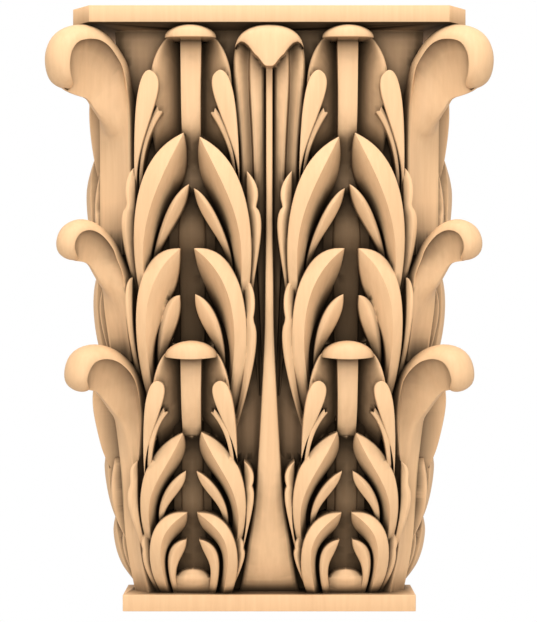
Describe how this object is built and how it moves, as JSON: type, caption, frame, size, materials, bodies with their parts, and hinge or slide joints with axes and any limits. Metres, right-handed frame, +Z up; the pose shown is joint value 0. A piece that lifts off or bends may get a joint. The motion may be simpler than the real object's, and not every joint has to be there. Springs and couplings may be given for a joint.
{
  "type": "acanthus pilaster capital",
  "caption": "Carved wooden pilaster capital with tiered acanthus leaves, hooked corner leaves, a chamfered abacus and a flat back.",
  "frame": {"origin": "centre of the base plate's underside", "axes": "+Z up along the capital's height, +Y out of the flat back towards the wall, +X to the right seen from the front"},
  "size_m": [0.2206, 0.0613, 0.3048],
  "materials": {
    "carved_wood": "satin"
  },
  "bodies": {
    "root": {"acanthus_capital": "carved_wood"}
  },
  "joints": []
}
